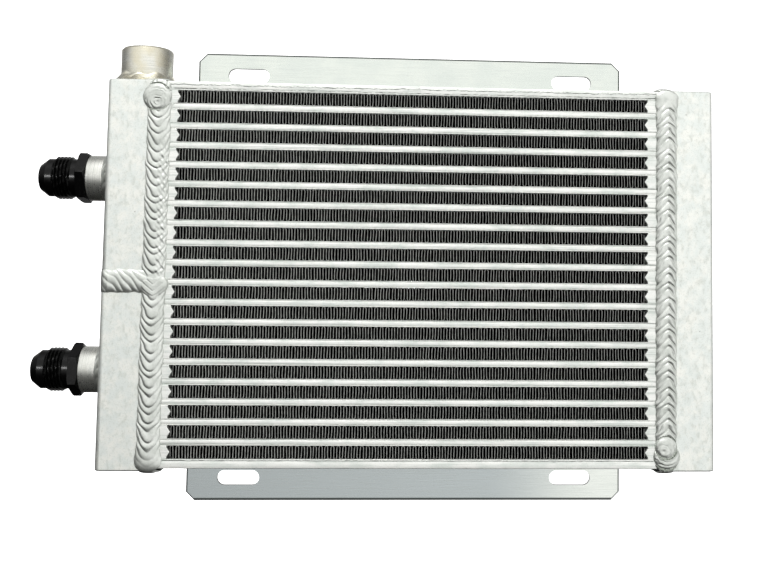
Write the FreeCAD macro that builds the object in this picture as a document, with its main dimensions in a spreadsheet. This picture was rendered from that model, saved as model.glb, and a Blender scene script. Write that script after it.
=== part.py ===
import FreeCAD, Part
import math
import os

# Hydraulic oil cooler: a bar-and-plate aluminium core with a welded tank on each
# side, two black hose adapters in ports on the left tank, a third port on top of
# it, and two angle brackets with slotted holes at the back.
#
# Frame: +X along the width (the ports are at -X), -Y towards the cooler's front,
# +Z up. The origin is the centre of the four mounting slots, on the brackets'
# rear face.

SIZES = [
    # core
    ("air_rows", 19, "air fin layers; there is one oil passage between each two"),
    ("air_fin_height", 8.0, "height of an air fin layer"),
    ("oil_gap", 3.0, "height of an oil passage"),
    ("sheet_thickness", 0.5, "parting sheet between an air layer and an oil passage"),
    ("cover_thickness", 1.0, "thicker sheet on the outermost air layers"),
    ("side_plate_thickness", 4.8, "top and bottom plate of the core"),
    ("core_depth", 50.0, "front to back"),
    ("core_length", 314.8, "header face to header face"),
    ("core_offset", 3.0, "core centre to the right of the slots' centre"),
    ("bracket_thickness", 3.0, "also the gap from the core's back to the origin plane"),
    ("oil_bar_width", 5.0, "bar that closes an oil passage at the front or back"),
    ("end_bar_length", 11.15, "bar that closes an air layer at a side, without its nose"),
    ("end_bar_nose", 1.9, "V-shaped nose of that bar, towards the fins"),
    ("end_bar_nose_height", 5.4, "height of the nose where it starts"),
    ("fin_leg_pitch", 1.778, "14 fins to the inch"),
    ("fin_sheet", 0.2, "thickness of the fin stock"),
    ("fin_end_gap", 0.15, "between the last fin leg and the nose of the end bar"),
    ("turbulator_leg_pitch", 2.5, "oil-side fin"),
    ("turbulator_sheet", 0.3, "thickness of the oil-side fin stock"),
    ("turbulator_inset", 4.0, "turbulator ends this far inside the header face"),
    # tanks
    ("tank_width", 31.4, "left tank, header face to outer face"),
    ("right_tank_width", 30.7, "right tank, header face to outer face"),
    ("tank_half_height", 118.8, "half of the tank's height"),
    ("tank_drop", 0.5, "the tanks sit this much lower than the core"),
    ("tank_wall", 4.0, "thickness of tank walls, caps and baffle"),
    ("tank_corner", 3.0, "outer vertical edges"),
    ("baffle_height", -2.0, "middle of the baffle in the left tank"),
    # ports
    ("upper_port_height", 58.8, "axis of the upper side port"),
    ("lower_port_height", -60.8, "axis of the lower side port"),
    ("port_bung_radius", 14.3, "outside of the side port bungs"),
    ("port_bung_length", 15.0, "tank face to the bung's face"),
    ("port_thread_radius", 11.0, "M22 x 1.5, major radius"),
    ("port_hole_radius", 9.0, "hole in the tank behind each bung"),
    ("seal_seat_radius", 13.2, "counterbore for the seal ring"),
    ("seal_seat_depth", 2.1, "counterbore for the seal ring"),
    ("top_bung_radius", 15.9, "outside of the top port's bung"),
    ("top_bung_length", 23.4, "height of the top port's bung"),
    ("top_bung_chamfer", 1.2, "edge of the top port's bung"),
    ("top_port_inward", 17.4, "from the tank's outer face to the top port's axis"),
    # adapters
    ("stub_radius", 10.95, "threaded stub in the bung"),
    ("stub_length", 13.5, "threaded stub in the bung"),
    ("hex_across_flats", 28.575, "1 1/8 in hexagon"),
    ("hex_length", 6.2, "thickness of the hexagon"),
    ("neck_radius", 12.0, "relief between the hexagon and the hose thread"),
    ("neck_length", 4.0, "relief between the hexagon and the hose thread"),
    ("hose_thread_radius", 13.5, "1 1/16-12 hose thread, major radius"),
    ("hose_thread_length", 11.3, "length of the hose thread"),
    ("seat_radius", 11.9, "plain part between the hose thread and the cone"),
    ("seat_length", 3.8, "plain part between the hose thread and the cone"),
    ("nose_radius", 8.0, "front end of the 37 degree cone"),
    ("cone_length", 5.2, "37 degree sealing cone"),
    ("adapter_bore_radius", 6.25, "oil way through the adapter"),
    ("upper_hex_turn", 8.5, "degrees that the upper hexagon is turned"),
    ("lower_hex_turn", 30.0, "degrees that the lower hexagon is turned"),
    ("seal_radius", 12.05, "seal ring, middle of its section"),
    ("seal_section", 1.0, "seal ring, radius of its section"),
    # brackets
    ("bracket_length", 282.0, "length of each bracket"),
    ("bracket_reach", 146.0, "mid-height to the bracket's outer edge"),
    ("bracket_foot", 25.0, "foot along the side plate, with the bend"),
    ("bracket_bend", 4.0, "outer radius of the bend"),
    ("bracket_corner", 5.5, "cut-off corners"),
    ("slot_spacing_across", 216.0, "slot centre to slot centre along X"),
    ("slot_spacing_high", 263.2, "slot centre to slot centre along Z"),
    ("slot_length", 27.0, "end to end"),
    ("slot_width", 9.5, "for an M8 or 5/16 in bolt, with room to adjust"),
    # welds
    ("tank_weld_width", 14.0, "bead round each tank's joint with the core"),
    ("tank_weld_crown", 2.2, "height of that bead"),
    ("middle_weld_width", 14.0, "bead round the left tank at its baffle"),
    ("middle_weld_side", 0.6, "height of that bead on the tank's outer face"),
    ("middle_weld_drop", 3.0, "middle of that bead below the baffle"),
    ("port_weld_leg", 5.5, "fillet round a side port bung"),
    ("top_weld_leg", 6.5, "fillet round the top port bung"),
    ("bracket_weld_leg", 3.0, "fillet along the bracket's foot"),
    ("bracket_weld_length", 24.0, "length of one such fillet"),
]

doc = FreeCAD.newDocument("OilCooler")
sheet = doc.addObject("Spreadsheet::Sheet", "Sizes")
for line, (alias, value, note) in enumerate(SIZES, start=1):
    sheet.set("A%d" % line, alias)
    sheet.set("B%d" % line, str(value))
    sheet.set("C%d" % line, note)
    sheet.setAlias("B%d" % line, alias)
doc.recompute()

NODES = []


def size(alias):
    """Value of a driving dimension, for shapes that are written in code."""
    return float(sheet.get(alias))


def bind(obj, **expressions):
    """Bind properties of an object to expressions of the sheet."""
    for name, text in expressions.items():
        obj.setExpression(name, text)


def put(obj, x, y, z):
    """Bind an object's position to expressions of the sheet."""
    obj.setExpression("Placement.Base.x", x)
    obj.setExpression("Placement.Base.y", y)
    obj.setExpression("Placement.Base.z", z)


def node(obj, name):
    """Give an object the name of the node that it is, and note it for export."""
    obj.Label = name
    NODES.append(obj)
    return obj


def S(text):
    """Write aliases of the sheet as Sizes.alias in an expression."""
    out = text
    for alias in sorted((entry[0] for entry in SIZES), key=len, reverse=True):
        out = out.replace("@" + alias, "Sizes." + alias)
    return out


def box(name, low, extent):
    """Box from expressions for its low corner and its extents."""
    obj = doc.addObject("Part::Box", name)
    bind(obj, Length=S(extent[0]), Width=S(extent[1]), Height=S(extent[2]))
    put(obj, *[S(text) for text in low])
    return obj


def cylinder(name, radius, length, at, axis):
    """Cylinder from its start point, along -X, +Y or +Z: "left", "back" or "up"."""
    obj = doc.addObject("Part::Cylinder", name)
    bind(obj, Radius=S(radius), Height=S(length))
    aim(obj, axis)
    put(obj, *[S(text) for text in at])
    return obj


def cone(name, radius_start, radius_end, length, at, axis):
    """Cone from its start point, along -X ("left") or +Z ("up")."""
    obj = doc.addObject("Part::Cone", name)
    bind(obj, Radius1=S(radius_start), Radius2=S(radius_end), Height=S(length))
    aim(obj, axis)
    put(obj, *[S(text) for text in at])
    return obj


def aim(obj, axis):
    """Turn a primitive that is built along +Z."""
    turns = {
        "up": FreeCAD.Rotation(),
        "left": FreeCAD.Rotation(FreeCAD.Vector(0, 1, 0), -90),
        "back": FreeCAD.Rotation(FreeCAD.Vector(1, 0, 0), -90),
    }
    obj.Placement = FreeCAD.Placement(FreeCAD.Vector(), turns[axis])


def cut(name, base, tool):
    obj = doc.addObject("Part::Cut", name)
    obj.Base = base
    obj.Tool = tool
    return obj


def fuse(name, shapes):
    obj = doc.addObject("Part::MultiFuse", name)
    obj.Shapes = shapes
    return obj


def group(name, shapes):
    """Separate solids that share one node."""
    obj = doc.addObject("Part::Compound", name)
    obj.Links = shapes
    return obj


def edges_where(obj, along, test):
    """Numbers of the straight edges along x, y or z that lie where the test holds."""
    doc.recompute()
    found = []
    for number, edge in enumerate(obj.Shape.Edges, start=1):
        if len(edge.Vertexes) != 2 or edge.Curve.TypeId != "Part::GeomLine":
            continue
        if abs(getattr(edge.tangentAt(0), along)) > 0.9 and test(edge.CenterOfMass):
            found.append(number)
    return found


def dress(kind, name, base, numbers, value):
    """Fillet or chamfer on the numbered edges of a shape."""
    obj = doc.addObject("Part::" + kind, name)
    obj.Base = base
    obj.Edges = [(number, value, value) for number in numbers]
    return obj


# Positions that many pieces share.
CORE_LOW_X = "@core_offset - @core_length / 2"
CORE_HIGH_X = "@core_offset + @core_length / 2"
CORE_FRONT = "-@bracket_thickness - @core_depth"
CORE_MIDDLE = "-@bracket_thickness - @core_depth / 2"
LAYER_PITCH = "(@air_fin_height + @oil_gap + 2 * @sheet_thickness)"
STACK_TOP = "((@air_rows - 1) / 2 * " + LAYER_PITCH + " + @air_fin_height / 2)"
CORE_TOP = "(" + STACK_TOP + " + @cover_thickness + @side_plate_thickness)"
LEFT_FACE = "(@core_offset - @core_length / 2 - @tank_width)"
RIGHT_FACE = "(@core_offset + @core_length / 2 + @right_tank_width)"
TANK_TOP = "(@tank_half_height - @tank_drop)"
TANK_LOW = "(-@tank_half_height - @tank_drop)"


def row_middle(row):
    """Height of the middle of an air layer; row 1 is the top one."""
    return "((@air_rows + 1) / 2 - %d) * %s" % (row, LAYER_PITCH)


def corrugated(span, height, leg_pitch, thickness):
    """Closed outline of a square-waved sheet that is centred on the origin."""
    legs = int((span - thickness) / leg_pitch) + 1
    start = -leg_pitch * (legs - 1) / 2
    half = (height - thickness) / 2
    path = [(start, -half)]
    side = 1
    for leg in range(legs):
        x = start + leg * leg_pitch
        path.append((x, side * half))
        if leg < legs - 1:
            path.append((x + leg_pitch, side * half))
        side = -side
    reach = thickness / 2
    outline = []
    for sign in (1, -1):
        edge = []
        for i, (x, z) in enumerate(path):
            before = path[max(i - 1, 0)]
            after = path[min(i + 1, len(path) - 1)]
            step_in = unit(before, (x, z)) if i > 0 else unit((x, z), after)
            step_out = unit((x, z), after) if i < len(path) - 1 else step_in
            normal_x = -(step_in[1] + step_out[1])
            normal_z = step_in[0] + step_out[0]
            if step_in == step_out:
                normal_x, normal_z = normal_x / 2, normal_z / 2
            edge.append((x + sign * reach * normal_x, z + sign * reach * normal_z))
        outline += edge if sign == 1 else edge[::-1]
    return outline


def unit(a, b):
    length = math.hypot(b[0] - a[0], b[1] - a[1])
    return (round((b[0] - a[0]) / length), round((b[1] - a[1]) / length))


def air_fins():
    """One corrugated sheet in each air layer, its waves running side to side."""
    room = size("core_length") / 2 - size("end_bar_length") - size("end_bar_nose")
    span = 2 * (room - size("fin_end_gap"))
    outline = corrugated(span, size("air_fin_height"), size("fin_leg_pitch"), size("fin_sheet"))
    points = [FreeCAD.Vector(x, 0, z) for x, z in outline]
    face = Part.Face(Part.makePolygon(points + points[:1]))
    solid = face.extrude(FreeCAD.Vector(0, size("core_depth"), 0))
    for row in range(1, int(size("air_rows")) + 1):
        obj = doc.addObject("Part::Feature", "AirFin%02d" % row)
        obj.Shape = solid
        put(obj, S("@core_offset"), S(CORE_FRONT), S(row_middle(row)))
        node(obj, "air_fin_%02d" % row)


def oil_turbulators():
    """A corrugated sheet in each oil passage, its waves running front to back."""
    width = size("core_depth") - 2 * size("oil_bar_width") - 1.0
    outline = corrugated(width, size("oil_gap"), size("turbulator_leg_pitch"),
                         size("turbulator_sheet"))
    points = [FreeCAD.Vector(0, y, z) for y, z in outline]
    face = Part.Face(Part.makePolygon(points + points[:1]))
    length = size("core_length") - 2 * size("turbulator_inset")
    solid = face.extrude(FreeCAD.Vector(length, 0, 0))
    sheets = []
    for row in range(1, int(size("air_rows"))):
        obj = doc.addObject("Part::Feature", "Turbulator%02d" % row)
        obj.Shape = solid
        put(obj, S(CORE_LOW_X + " + @turbulator_inset"), S(CORE_MIDDLE),
            S(row_middle(row) + " - " + LAYER_PITCH + " / 2"))
        sheets.append(obj)
    node(group("Turbulators", sheets), "oil_turbulators")


def parting_sheets():
    """Two sheets round each oil passage."""
    sheets = []
    for row in range(1, int(size("air_rows"))):
        middle = row_middle(row) + " - " + LAYER_PITCH + " / 2"
        levels = (" + @oil_gap / 2", " - @oil_gap / 2 - @sheet_thickness")
        for side, level in zip("AB", levels):
            sheets.append(box("Sheet%02d%s" % (row, side), (CORE_LOW_X, CORE_FRONT, middle + level),
                              ("@core_length", "@core_depth", "@sheet_thickness")))
    node(group("Sheets", sheets), "parting_sheets")


def cover_sheets():
    """The thicker sheet on the top and the bottom air layer."""
    extent = ("@core_length", "@core_depth", "@cover_thickness")
    top = box("CoverTop", (CORE_LOW_X, CORE_FRONT, STACK_TOP), extent)
    bottom = box("CoverBottom", (CORE_LOW_X, CORE_FRONT, "-" + STACK_TOP + " - @cover_thickness"),
                 extent)
    node(group("Covers", [top, bottom]), "cover_sheets")


def side_plates():
    """Plates that close the stack at the top and the bottom."""
    extent = ("@core_length", "@core_depth", "@side_plate_thickness")
    top = box("SidePlateTop", (CORE_LOW_X, CORE_FRONT, STACK_TOP + " + @cover_thickness"), extent)
    bottom = box("SidePlateBottom", (CORE_LOW_X, CORE_FRONT, "-" + CORE_TOP), extent)
    node(top, "side_plate_top")
    node(bottom, "side_plate_bottom")


def oil_bars():
    """Long bars that close the oil passages at the front and the back."""
    depths = {"front": CORE_FRONT, "rear": "-@bracket_thickness - @oil_bar_width"}
    for where, low_y in depths.items():
        bars = []
        for row in range(1, int(size("air_rows"))):
            low_z = row_middle(row) + " - " + LAYER_PITCH + " / 2 - @oil_gap / 2"
            bars.append(box("OilBar%s%02d" % (where, row), (CORE_LOW_X, low_y, low_z),
                            ("@core_length", "@oil_bar_width", "@oil_gap")))
        node(group("OilBars" + where, bars), "oil_bars_" + where)


def end_bars():
    """Short bars with a V-shaped nose that close the air layers at the sides."""
    for where, sign in (("left", 1), ("right", -1)):
        outer = 0.0
        shoulder = sign * size("end_bar_length")
        tip = shoulder + sign * size("end_bar_nose")
        half = size("air_fin_height") / 2
        nose = size("end_bar_nose_height") / 2
        outline = [(outer, -half), (shoulder, -half), (shoulder, -nose), (tip, 0.0),
                   (shoulder, nose), (shoulder, half), (outer, half)]
        points = [FreeCAD.Vector(x, 0, z) for x, z in outline]
        face = Part.Face(Part.makePolygon(points + points[:1]))
        solid = face.extrude(FreeCAD.Vector(0, size("core_depth"), 0))
        bars = []
        for row in range(1, int(size("air_rows")) + 1):
            obj = doc.addObject("Part::Feature", "EndBar%s%02d" % (where, row))
            obj.Shape = solid
            start = CORE_LOW_X if where == "left" else CORE_HIGH_X
            put(obj, S(start), S(CORE_FRONT), S(row_middle(row)))
            bars.append(obj)
        node(group("EndBars" + where, bars), "end_bars_" + where)


def tank_shell(name, width, low_x, open_low_x, outer_x, low_z, height):
    """Channel that is open towards the core and at both ends, with rounded corners."""
    block = box(name + "Block", (low_x, CORE_FRONT, low_z), (width, "@core_depth", height))
    outer = size_of(outer_x)
    upright = edges_where(block, "z", lambda p: abs(p.x - outer) < 0.01)
    rounded = dress("Fillet", name + "Round", block, upright, size("tank_corner"))
    hollow = box(name + "Hollow", (open_low_x, CORE_FRONT + " + @tank_wall", low_z + " - 1"),
                 (width + " - @tank_wall", "@core_depth - 2 * @tank_wall", height + " + 2"))
    return cut(name + "Shell", rounded, hollow)


def size_of(text):
    """Value of one of the shared positions."""
    left = size("core_offset") - size("core_length") / 2 - size("tank_width")
    right = size("core_offset") + size("core_length") / 2 + size("right_tank_width")
    return left if text == LEFT_FACE else right


def left_tank():
    """Two shells with a baffle between them, a cap at each end, and the port holes."""
    baffle_top = "(@baffle_height + @tank_wall / 2)"
    baffle_low = "(@baffle_height - @tank_wall / 2)"
    inner_x = LEFT_FACE + " + @tank_wall"
    spans = {
        "upper": ("@baffle_height", TANK_TOP + " - @baffle_height"),
        "lower": (TANK_LOW, "@baffle_height - " + TANK_LOW),
    }
    for which, (low_z, height) in spans.items():
        shell = tank_shell("LeftTank" + which, "@tank_width", LEFT_FACE, inner_x, LEFT_FACE,
                           low_z, height)
        hole = cylinder("LeftHole" + which, "@port_hole_radius", "@tank_wall + 2",
                        (LEFT_FACE + " + @tank_wall + 1", CORE_MIDDLE,
                         "@%s_port_height" % which), "left")
        node(cut("LeftTankDone" + which, shell, hole), "left_tank_" + which)
    inside = ("@tank_width - @tank_wall", "@core_depth - 2 * @tank_wall", "@tank_wall")
    low_y = CORE_FRONT + " + @tank_wall"
    node(box("LeftBaffle", (inner_x, low_y, baffle_low), inside), "left_tank_baffle")
    top = box("LeftCapBlock", (inner_x, low_y, TANK_TOP + " - @tank_wall"), inside)
    hole = cylinder("LeftCapHole", "@port_hole_radius", "@tank_wall + 2",
                    (LEFT_FACE + " + @top_port_inward", CORE_MIDDLE,
                     TANK_TOP + " - @tank_wall - 1"), "up")
    node(cut("LeftCapTop", top, hole), "left_tank_top_cap")
    node(box("LeftCapBottom", (inner_x, low_y, TANK_LOW), inside), "left_tank_bottom_cap")


def right_tank():
    """One shell with a cap at each end; the oil turns round in it."""
    shell = tank_shell("RightTank", "@right_tank_width", CORE_HIGH_X, CORE_HIGH_X, RIGHT_FACE,
                       TANK_LOW, "2 * @tank_half_height")
    node(shell, "right_tank")
    inside = ("@right_tank_width - @tank_wall", "@core_depth - 2 * @tank_wall", "@tank_wall")
    low_y = CORE_FRONT + " + @tank_wall"
    node(box("RightCapTop", (CORE_HIGH_X, low_y, TANK_TOP + " - @tank_wall"), inside),
         "right_tank_top_cap")
    node(box("RightCapBottom", (CORE_HIGH_X, low_y, TANK_LOW), inside), "right_tank_bottom_cap")


def side_port(which):
    """Bung on the tank's outer face, with a threaded bore and a seat for the seal."""
    height = "@%s_port_height" % which
    start = (LEFT_FACE, CORE_MIDDLE, height)
    body = cylinder("Bung" + which, "@port_bung_radius", "@port_bung_length", start, "left")
    bore = cylinder("BungBore" + which, "@port_thread_radius", "@port_bung_length + 2",
                    (LEFT_FACE + " + 1", CORE_MIDDLE, height), "left")
    seat = cylinder("BungSeat" + which, "@seal_seat_radius", "@seal_seat_depth + 1",
                    (LEFT_FACE + " - @port_bung_length + @seal_seat_depth", CORE_MIDDLE, height),
                    "left")
    hollow = fuse("BungHollow" + which, [bore, seat])
    node(cut("BungDone" + which, body, hollow), which + "_port_bung")


def adapter(which):
    """Hose adapter: stub, hexagon, neck, hose thread, plain seat and sealing cone."""
    height = "@%s_port_height" % which
    pieces = []
    place = LEFT_FACE + " - @port_bung_length"
    stub = cylinder("Stub" + which, "@stub_radius", "@stub_length",
                    (place + " + @stub_length", CORE_MIDDLE, height), "left")
    pieces.append(stub)
    hexagon = doc.addObject("Part::Prism", "Hexagon" + which)
    hexagon.Polygon = 6
    bind(hexagon, Circumradius=S("@hex_across_flats / sqrt(3)"), Height=S("@hex_length"))
    turn = FreeCAD.Rotation(FreeCAD.Vector(0, 0, 1), 90 + size(which + "_hex_turn"))
    lay = FreeCAD.Rotation(FreeCAD.Vector(0, 1, 0), -90)
    hexagon.Placement = FreeCAD.Placement(FreeCAD.Vector(), lay.multiply(turn))
    put(hexagon, S(place), S(CORE_MIDDLE), S(height))
    pieces.append(hexagon)
    place += " - @hex_length"
    for part, radius in (("neck", "@neck_radius"), ("hose_thread", "@hose_thread_radius"),
                         ("seat", "@seat_radius")):
        pieces.append(cylinder(part + which, radius, "@%s_length" % part,
                               (place, CORE_MIDDLE, height), "left"))
        place += " - @%s_length" % part
    pieces.append(cone("Cone" + which, "@seat_radius", "@nose_radius", "@cone_length",
                       (place, CORE_MIDDLE, height), "left"))
    body = fuse("AdapterBody" + which, pieces)
    bore = cylinder("AdapterBore" + which, "@adapter_bore_radius", "80",
                    (LEFT_FACE, CORE_MIDDLE, height), "left")
    node(cut("AdapterDone" + which, body, bore), which + "_adapter")


def seal_ring(which):
    """Rubber ring under the hexagon, in the bung's counterbore."""
    ring = doc.addObject("Part::Torus", "Seal" + which)
    bind(ring, Radius1=S("@seal_radius"), Radius2=S("@seal_section"))
    aim(ring, "left")
    put(ring, S(LEFT_FACE + " - @port_bung_length + @seal_section"), S(CORE_MIDDLE),
        S("@%s_port_height" % which))
    node(ring, which + "_seal_ring")


def top_port():
    """Bung on the left tank's top cap, with a chamfered rim and a threaded bore."""
    axis_x = LEFT_FACE + " + @top_port_inward"
    low = TANK_TOP
    straight = cylinder("TopBungBody", "@top_bung_radius", "@top_bung_length - @top_bung_chamfer",
                        (axis_x, CORE_MIDDLE, low), "up")
    rim = cone("TopBungRim", "@top_bung_radius", "@top_bung_radius - @top_bung_chamfer",
               "@top_bung_chamfer",
               (axis_x, CORE_MIDDLE, low + " + @top_bung_length - @top_bung_chamfer"), "up")
    body = fuse("TopBungSolid", [straight, rim])
    bore = cylinder("TopBungBore", "@port_thread_radius", "@top_bung_length + 2",
                    (axis_x, CORE_MIDDLE, low + " - 1"), "up")
    node(cut("TopBungDone", body, bore), "top_port_bung")


def bracket(which, sign):
    """Angle with its foot on the side plate and two slots in its upright flange."""
    label = "Bracket" + which
    low_x = "-@bracket_length / 2"
    rise = "(@bracket_reach - " + CORE_TOP + ")"
    flange_low = CORE_TOP if sign > 0 else "-@bracket_reach"
    foot_low = CORE_TOP if sign > 0 else "-" + CORE_TOP + " - @bracket_thickness"
    flange = box(label + "Flange", (low_x, "-@bracket_thickness", flange_low),
                 ("@bracket_length", "@bracket_thickness", rise))
    foot = box(label + "Foot", (low_x, "-@bracket_foot", foot_low),
               ("@bracket_length", "@bracket_foot", "@bracket_thickness"))
    angle = fuse(label + "Angle", [flange, foot])
    angle.Refine = True
    core_top = size_core_top()
    outer = edges_where(angle, "x", lambda p: abs(p.y) < 0.01 and
                        abs(abs(p.z) - core_top) < 0.01)
    bent = dress("Fillet", label + "Bend", angle, outer, size("bracket_bend"))
    reach, half = size("bracket_reach"), size("bracket_length") / 2
    corners = edges_where(bent, "y", lambda p: abs(abs(p.z) - reach) < 0.01 and
                          abs(abs(p.x) - half) < 0.01)
    trimmed = dress("Chamfer", label + "Corners", bent, corners, size("bracket_corner"))
    tools = []
    for side, sense in (("Left", "-"), ("Right", "")):
        middle_x = sense + "@slot_spacing_across / 2"
        middle_z = ("" if sign > 0 else "-") + "@slot_spacing_high / 2"
        flat = "(@slot_length - @slot_width)"
        tools.append(box(label + side + "Slot",
                         (middle_x + " - " + flat + " / 2", "-@bracket_thickness - 1",
                          middle_z + " - @slot_width / 2"),
                         (flat, "@bracket_thickness + 2", "@slot_width")))
        for end in ("-", "+"):
            tools.append(cylinder(label + side + "Round" + ("A" if end == "-" else "B"),
                                  "@slot_width / 2", "@bracket_thickness + 2",
                                  (middle_x + " " + end + " " + flat + " / 2",
                                   "-@bracket_thickness - 1", middle_z), "back"))
    slots = fuse(label + "Slots", tools)
    node(cut(label + "Done", trimmed, slots), "bracket_" + which)


def size_core_top():
    """Height of the core's top face."""
    pitch = size("air_fin_height") + size("oil_gap") + 2 * size("sheet_thickness")
    stack = (size("air_rows") - 1) / 2 * pitch + size("air_fin_height") / 2
    return stack + size("cover_thickness") + size("side_plate_thickness")


def tank_weld(which, joint_x):
    """Bead round the joint of tank and core, on all four faces of the cooler."""
    label = "TankWeld" + which
    low_x = joint_x + " - @tank_weld_width / 2"
    ring = box(label + "Outer",
               (low_x, CORE_FRONT + " - @tank_weld_crown", TANK_LOW + " - @tank_weld_crown"),
               ("@tank_weld_width", "@core_depth + 2 * @tank_weld_crown",
                "2 * @tank_half_height + 2 * @tank_weld_crown"))
    middle = size_joint(which)
    half = size("tank_weld_width") / 2
    rims = [number for along in "yz"
            for number in edges_where(ring, along, lambda p: abs(abs(p.x - middle) - half) < 0.01)]
    rounded = dress("Chamfer", label + "Crown", ring, rims, size("tank_weld_crown") * 0.8)
    tank_x, core_x = joint_x + " - @tank_weld_width", joint_x
    if which == "right":
        tank_x, core_x = core_x, tank_x
    tank = box(label + "Tank", (tank_x, CORE_FRONT, TANK_LOW),
               ("@tank_weld_width", "@core_depth", "2 * @tank_half_height"))
    core = box(label + "Core", (core_x, CORE_FRONT, "-" + CORE_TOP),
               ("@tank_weld_width", "@core_depth", "2 * " + CORE_TOP))
    bead = cut(label + "Bead", rounded, fuse(label + "Under", [tank, core]))
    if which == "right":
        return node(bead, "right_tank_weld")
    clear = cylinder(label + "Clear", "@top_bung_radius + @top_weld_leg", "10",
                     (LEFT_FACE + " + @top_port_inward", CORE_MIDDLE, TANK_TOP + " - 1"),
                     "up")
    return node(cut(label + "Open", bead, clear), "left_tank_weld")


def size_joint(which):
    """X of the joint between a tank and the core."""
    half = size("core_length") / 2
    return size("core_offset") + (-half if which == "left" else half)


def middle_weld():
    """Bead round the left tank's front, outer face and back at its baffle."""
    low_z = "@baffle_height - @middle_weld_drop - @middle_weld_width / 2"
    length = "(" + CORE_LOW_X + " - @tank_weld_width / 2 - " + LEFT_FACE + ")"
    block = box("MiddleWeldBlock",
                (LEFT_FACE + " - @middle_weld_side", CORE_FRONT + " - @tank_weld_crown", low_z),
                (length + " + @middle_weld_side", "@core_depth + 2 * @tank_weld_crown",
                 "@middle_weld_width"))
    outer = size_of(LEFT_FACE)
    turned = edges_where(block, "z", lambda p: p.x < outer)
    bent = dress("Fillet", "MiddleWeldBend", block, turned, size("tank_corner"))
    inside = box("MiddleWeldInside", (LEFT_FACE, CORE_FRONT, low_z + " - 1"),
                 ("@tank_width", "@core_depth", "@middle_weld_width + 2"))
    upright = edges_where(inside, "z", lambda p: abs(p.x - outer) < 0.01)
    rounded = dress("Fillet", "MiddleWeldRound", inside, upright, size("tank_corner"))
    node(cut("MiddleWeldDone", bent, rounded), "left_tank_middle_weld")


def port_weld(which):
    """Fillet weld round a side port's bung."""
    height = "@%s_port_height" % which
    body = cone("PortWeld" + which, "@port_bung_radius + @port_weld_leg", "@port_bung_radius",
                "@port_weld_leg", (LEFT_FACE, CORE_MIDDLE, height), "left")
    inside = cylinder("PortWeldInside" + which, "@port_bung_radius", "@port_weld_leg + 2",
                      (LEFT_FACE + " + 1", CORE_MIDDLE, height), "left")
    node(cut("PortWeldDone" + which, body, inside), which + "_port_weld")


def top_port_weld():
    """Fillet weld round the top port's bung, cut off at the tank's outer edge."""
    axis_x = LEFT_FACE + " + @top_port_inward"
    reach = "(@top_bung_radius + @top_weld_leg)"
    body = cone("TopWeld", reach, "@top_bung_radius", "@top_weld_leg",
                (axis_x, CORE_MIDDLE, TANK_TOP), "up")
    inside = cylinder("TopWeldInside", "@top_bung_radius", "@top_weld_leg + 2",
                      (axis_x, CORE_MIDDLE, TANK_TOP + " - 1"), "up")
    ring = cut("TopWeldRing", body, inside)
    above_tank = box("TopWeldRoom", (LEFT_FACE, CORE_FRONT, TANK_TOP + " - 1"),
                     ("@top_port_inward + " + reach + " + 1", "@core_depth", "@top_weld_leg + 2"))
    trimmed = doc.addObject("Part::Common", "TopWeldDone")
    trimmed.Base = ring
    trimmed.Tool = above_tank
    node(trimmed, "top_port_weld")


def bracket_welds(which, sign):
    """Three short fillets along the front edge of a bracket's foot."""
    leg = size("bracket_weld_leg")
    points = [FreeCAD.Vector(0, 0, 0), FreeCAD.Vector(0, -leg, 0), FreeCAD.Vector(0, 0, sign * leg)]
    face = Part.Face(Part.makePolygon(points + points[:1]))
    solid = face.extrude(FreeCAD.Vector(size("bracket_weld_length"), 0, 0))
    stitches = []
    for number, middle in enumerate((-1, 0, 1)):
        obj = doc.addObject("Part::Feature", "BracketWeld%s%d" % (which, number))
        obj.Shape = solid
        put(obj, S("%d * @slot_spacing_across / 2 - @bracket_weld_length / 2" % middle),
            S("-@bracket_foot"), S(CORE_TOP if sign > 0 else "-" + CORE_TOP))
        stitches.append(obj)
    node(group("BracketWelds" + which, stitches), "bracket_%s_welds" % which)


air_fins()
oil_turbulators()
parting_sheets()
cover_sheets()
side_plates()
oil_bars()
end_bars()
left_tank()
right_tank()
for port in ("upper", "lower"):
    side_port(port)
    adapter(port)
    seal_ring(port)
    port_weld(port)
top_port()
top_port_weld()
for position, direction in (("top", 1), ("bottom", -1)):
    bracket(position, direction)
    bracket_welds(position, direction)
tank_weld("left", CORE_LOW_X)
tank_weld("right", CORE_HIGH_X)
middle_weld()
doc.recompute()

for obj in doc.Objects:
    state = set(obj.State)
    if state & {"Invalid", "Error"}:
        raise RuntimeError("%s is %s" % (obj.Label, sorted(state)))
for obj in NODES:
    if obj.Shape.isNull() or not obj.Shape.isValid() or not obj.Shape.Solids:
        raise RuntimeError("%s has no valid solid" % obj.Label)

os.makedirs("parts", exist_ok=True)
for obj in NODES:
    obj.Shape.exportStep(os.path.join("parts", obj.Label + ".step"))
print("%d nodes" % len(NODES))
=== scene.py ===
import math
import random

import bpy
import numpy as np
from mathutils import Matrix, Vector


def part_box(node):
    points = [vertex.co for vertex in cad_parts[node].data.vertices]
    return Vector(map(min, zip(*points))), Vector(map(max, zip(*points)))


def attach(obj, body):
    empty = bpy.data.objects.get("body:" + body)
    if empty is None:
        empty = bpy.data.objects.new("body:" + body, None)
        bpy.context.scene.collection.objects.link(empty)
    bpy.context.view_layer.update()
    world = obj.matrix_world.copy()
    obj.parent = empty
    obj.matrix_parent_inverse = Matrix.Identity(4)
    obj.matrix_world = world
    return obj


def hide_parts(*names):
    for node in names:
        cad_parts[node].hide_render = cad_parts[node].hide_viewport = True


# Looks of the hydraulic oil cooler: wavy air fins, rounded bars and sheets, rippled
# weld beads, threaded hose adapters and turned bungs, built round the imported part.
# Lengths are in metres unless a name ends in _mm.

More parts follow.
